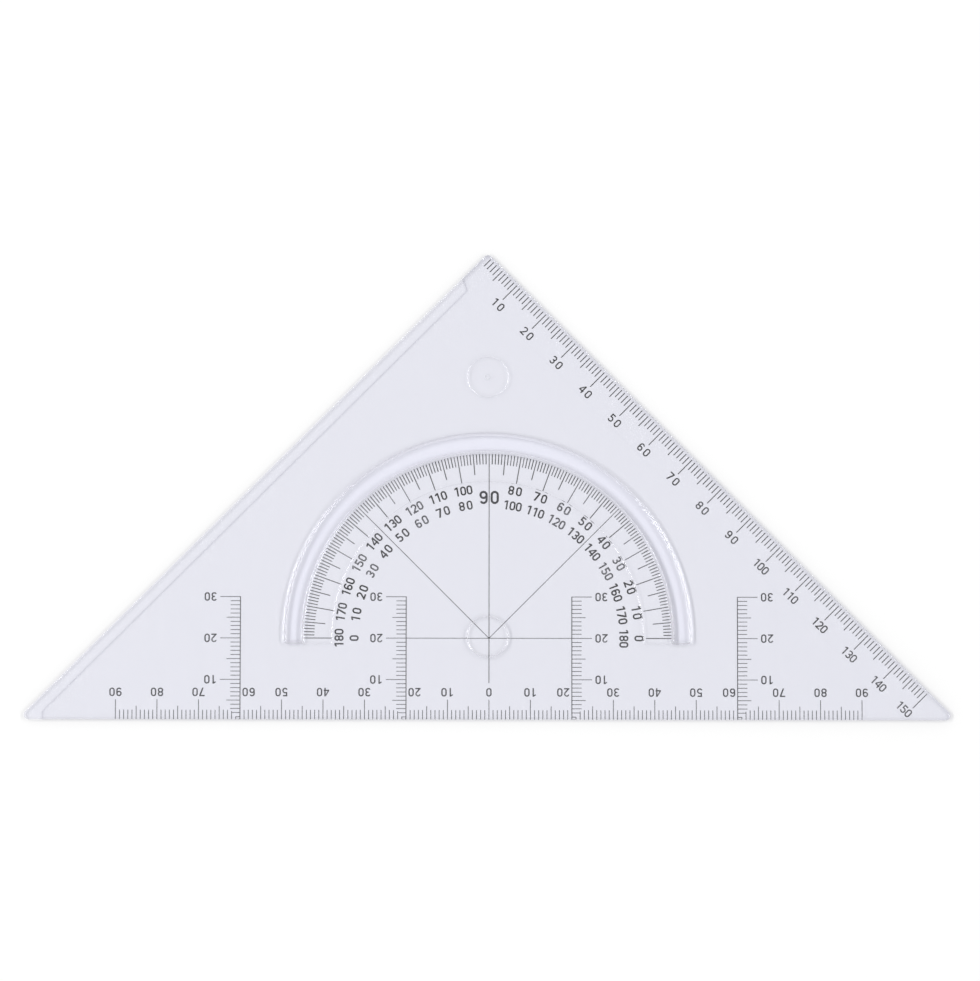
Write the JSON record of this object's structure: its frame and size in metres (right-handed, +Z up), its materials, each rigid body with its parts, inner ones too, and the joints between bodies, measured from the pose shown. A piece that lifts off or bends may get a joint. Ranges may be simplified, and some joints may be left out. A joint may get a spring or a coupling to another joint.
{
  "type": "protractor set square",
  "caption": "Clear right-angled set square with equal short sides, millimetre scales, a half-circle degree scale, depth scales and a raised grip arc.",
  "frame": {"origin": "middle of the bounding box's bottom face: on the middle line of the plate, halfway between the long edge and the right-angled corner, level with the underside that rests on the paper", "axes": "+X along the long edge towards the numbered short side, +Y from the long edge towards the right-angled corner, +Z up out of the face that carries the grip arc"},
  "size_m": [0.2232, 0.1126, 0.003],
  "materials": {
    "clear_plastic": "clear, polished, with a faint lavender tint",
    "print_ink": "dry black ink film"
  },
  "bodies": {
    "root": {"plate": "clear_plastic", "long_edge_marks_1mm": "print_ink", "long_edge_marks_5mm": "print_ink", "long_edge_marks_10mm": "print_ink", "long_edge_numbers": "print_ink", "short_side_marks_1mm": "print_ink", "short_side_marks_5mm": "print_ink", "short_side_marks_10mm": "print_ink", "short_side_numbers": "print_ink", "degree_marks_1": "print_ink", "degree_marks_5": "print_ink", "degree_marks_10": "print_ink", "degree_numbers_outer": "print_ink", "degree_numbers_inner": "print_ink", "degree_number_90": "print_ink", "angle_lines": "print_ink", "depth_scale_left_outer": "print_ink", "depth_scale_left_inner": "print_ink", "depth_scale_right_inner": "print_ink", "depth_scale_right_outer": "print_ink", "depth_numbers_left_outer": "print_ink", "depth_numbers_left_inner": "print_ink", "depth_numbers_right_inner": "print_ink", "depth_numbers_right_outer": "print_ink"}
  },
  "joints": []
}
